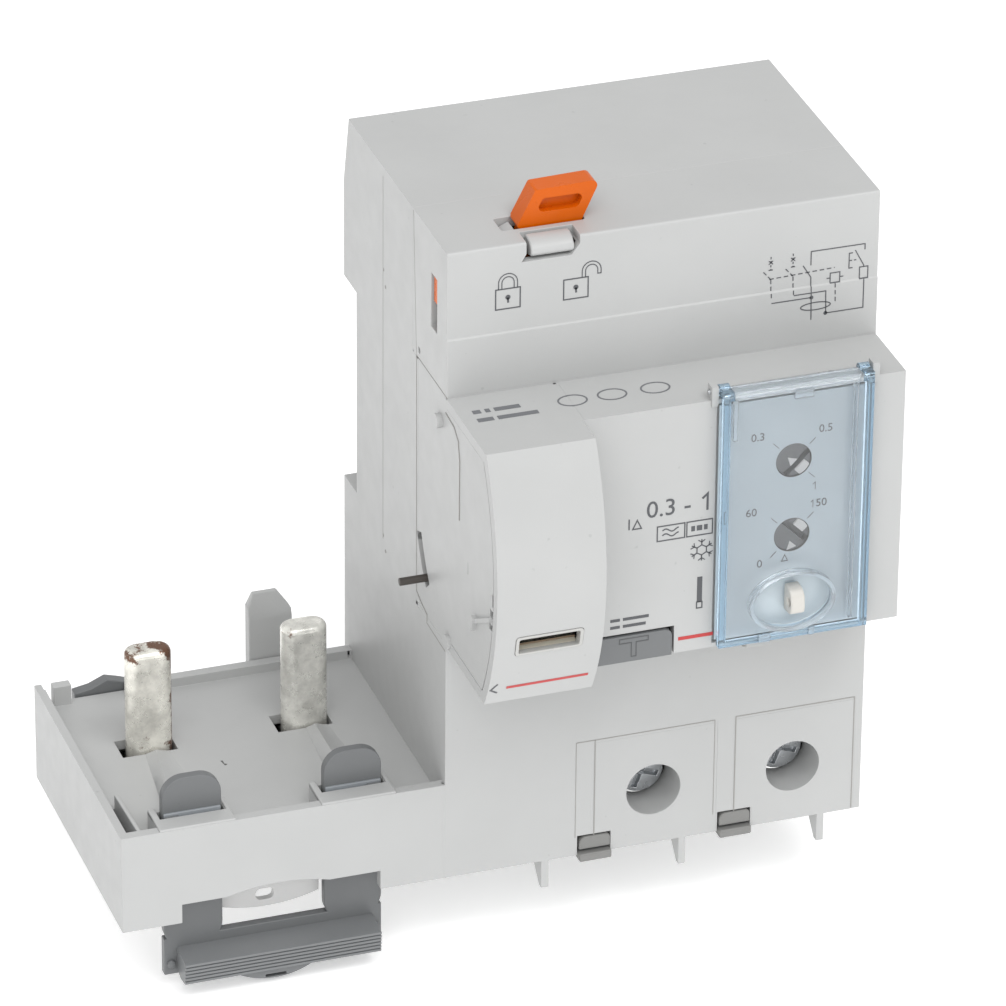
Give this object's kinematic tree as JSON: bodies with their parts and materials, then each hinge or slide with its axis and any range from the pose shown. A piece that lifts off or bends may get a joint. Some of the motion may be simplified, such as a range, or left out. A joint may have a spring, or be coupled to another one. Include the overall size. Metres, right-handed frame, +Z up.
{
  "type": "add-on residual current device for a circuit breaker",
  "caption": "Rail-mounted residual current block with a side connection tray, input blades, settings under a clear cover, a test button and screw terminals.",
  "frame": {"origin": "centre of the rail seat, the face that rests on the rail's front, on the main body's centre line", "axes": "+X along the rail to the right seen from the front, -Y out of the panel towards the user, +Z up"},
  "size_m": [0.1249, 0.078, 0.1316],
  "materials": {
    "housing": "warm light grey moulded plastic, satin",
    "white_plastic": "off-white moulded plastic",
    "grey_plastic": "blue-grey moulded plastic",
    "tab_grey": "mid-grey moulded plastic",
    "orange_plastic": "orange moulded plastic, satin",
    "clear_plastic": "clear polycarbonate with a faint blue tint",
    "pale_plate": "pale blue-grey printed plate",
    "dark_pin": "dark brown-grey plastic",
    "tinned_copper": "tin-plated copper with brown tarnish",
    "zinc_steel": "zinc-plated steel",
    "ferrite": "wound soft-magnetic core",
    "enamelled_wire": "enamelled copper wire, wound",
    "board_green": "green solder mask",
    "component_black": "black moulded component"
  },
  "bodies": {
    "base": {"main_housing": "housing", "upper_cover": "housing", "nose_cover": "housing", "side_plate": "housing", "coupling_cover": "housing", "indicator_window": "clear_plastic", "terminal_cover_1": "housing", "terminal_cover_2": "housing", "terminal_tab_1": "tab_grey", "terminal_tab_2": "tab_grey", "connection_tray": "housing", "tray_bottom_plate": "white_plastic", "rear_guide": "housing", "rear_clip": "grey_plastic", "catch_tongue": "white_plastic", "latch_bow": "white_plastic", "sealing_lug": "white_plastic", "settings_plate": "pale_plate", "input_blade_1": "tinned_copper", "input_blade_2": "tinned_copper", "terminal_bar_1": "tinned_copper", "terminal_bar_2": "tinned_copper", "test_contact": "tinned_copper", "case_screw_1": "zinc_steel", "case_screw_2": "zinc_steel", "case_screw_3": "zinc_steel", "case_screw_4": "zinc_steel", "tray_screw_1": "zinc_steel", "tray_screw_2": "zinc_steel", "lock_pivot": "zinc_steel", "trip_axle": "zinc_steel", "cover_hinge_pin": "zinc_steel", "toroid_case": "white_plastic", "toroid_lid": "white_plastic", "toroid_core": "ferrite", "secondary_winding": "enamelled_wire", "circuit_board": "board_green", "trip_relay": "component_black", "current_trimmer": "component_black", "delay_trimmer": "component_black", "test_resistor": "component_black", "filter_capacitor": "component_black", "delay_capacitor": "component_black"},
    "cover": {"settings_cover": "clear_plastic"},
    "current_dial": {"current_selector": "tab_grey"},
    "delay_dial": {"delay_selector": "tab_grey"},
    "button": {"test_button": "grey_plastic", "test_spring": "zinc_steel"},
    "lever": {"lock_lever": "orange_plastic"},
    "trip": {"trip_lever": "dark_pin"},
    "flag": {"trip_flag": "white_plastic"},
    "plunger": {"relay_plunger": "zinc_steel"},
    "latch": {"breaker_latch": "grey_plastic"},
    "clip": {"rail_clip": "grey_plastic"},
    "screw_1": {"terminal_screw_1": "zinc_steel"},
    "screw_2": {"terminal_screw_2": "zinc_steel"},
    "cage_1": {"terminal_cage_1": "zinc_steel"},
    "cage_2": {"terminal_cage_2": "zinc_steel"}
  },
  "joints": [
    {"name": "cover_hinge", "type": "hinge", "parent": "base", "child": "cover", "pos_m": [0.017, -0.0584, 0.0234], "axis": [-1, 0, 0], "range_deg": [0, 110]},
    {"name": "current_turn", "type": "hinge", "parent": "base", "child": "current_dial", "pos_m": [0.0172, -0.0593, 0.0093], "axis": [0, 1, 0], "range_deg": [0, 180]},
    {"name": "delay_turn", "type": "hinge", "parent": "base", "child": "delay_dial", "pos_m": [0.0172, -0.0593, -0.004], "axis": [0, 1, 0], "range_deg": [0, 180]},
    {"name": "test_press", "type": "slide", "parent": "base", "child": "button", "axis": [0, 1, 0], "range_m": [0, 0.0015], "stiffness_N_per_m": 600},
    {"name": "lever_tilt", "type": "hinge", "parent": "base", "child": "lever", "pos_m": [-0.0197, -0.0405, 0.038], "axis": [0, 1, 0], "range_deg": [-15, 0]},
    {"name": "trip_swing", "type": "hinge", "parent": "base", "child": "trip", "pos_m": [-0.0332, -0.055, -0.0005], "axis": [1, 0, 0], "range_deg": [0, 14.5]},
    {"name": "flag_swing", "type": "hinge", "parent": "base", "child": "flag", "pos_m": [-0.026, -0.055, -0.0005], "axis": [1, 0, 0], "range_deg": [0, 14.5]},
    {"name": "plunger_lift", "type": "slide", "parent": "base", "child": "plunger", "axis": [0, 0, 1], "range_m": [0, 0.003]},
    {"name": "latch_slide", "type": "slide", "parent": "base", "child": "latch", "axis": [0, 0, -1], "range_m": [0, 0.005], "stiffness_N_per_m": 500},
    {"name": "clip_slide", "type": "slide", "parent": "base", "child": "clip", "axis": [0, 0, -1], "range_m": [0, 0.003], "stiffness_N_per_m": 1500},
    {"name": "screw_turn_1", "type": "hinge", "parent": "base", "child": "screw_1", "pos_m": [-0.0002, -0.0396, -0.055], "axis": [0, 1, 0], "range_deg": [0, 1080]},
    {"name": "screw_turn_2", "type": "hinge", "parent": "base", "child": "screw_2", "pos_m": [0.0237, -0.0396, -0.055], "axis": [0, 1, 0], "range_deg": [0, 1080]},
    {"name": "cage_lift_1", "type": "slide", "parent": "base", "child": "cage_1", "axis": [0, -1, 0], "range_m": [0, 0.0024]},
    {"name": "cage_lift_2", "type": "slide", "parent": "base", "child": "cage_2", "axis": [0, -1, 0], "range_m": [0, 0.0024]}
  ],
  "couplings": [
    {"joint": "trip_swing", "follows": "plunger_lift", "rad_per_m": 83.776},
    {"joint": "flag_swing", "follows": "plunger_lift", "rad_per_m": 83.776},
    {"joint": "screw_turn_1", "follows": "cage_lift_1", "rad_per_m": 7853},
    {"joint": "screw_turn_2", "follows": "cage_lift_2", "rad_per_m": 7853}
  ]
}
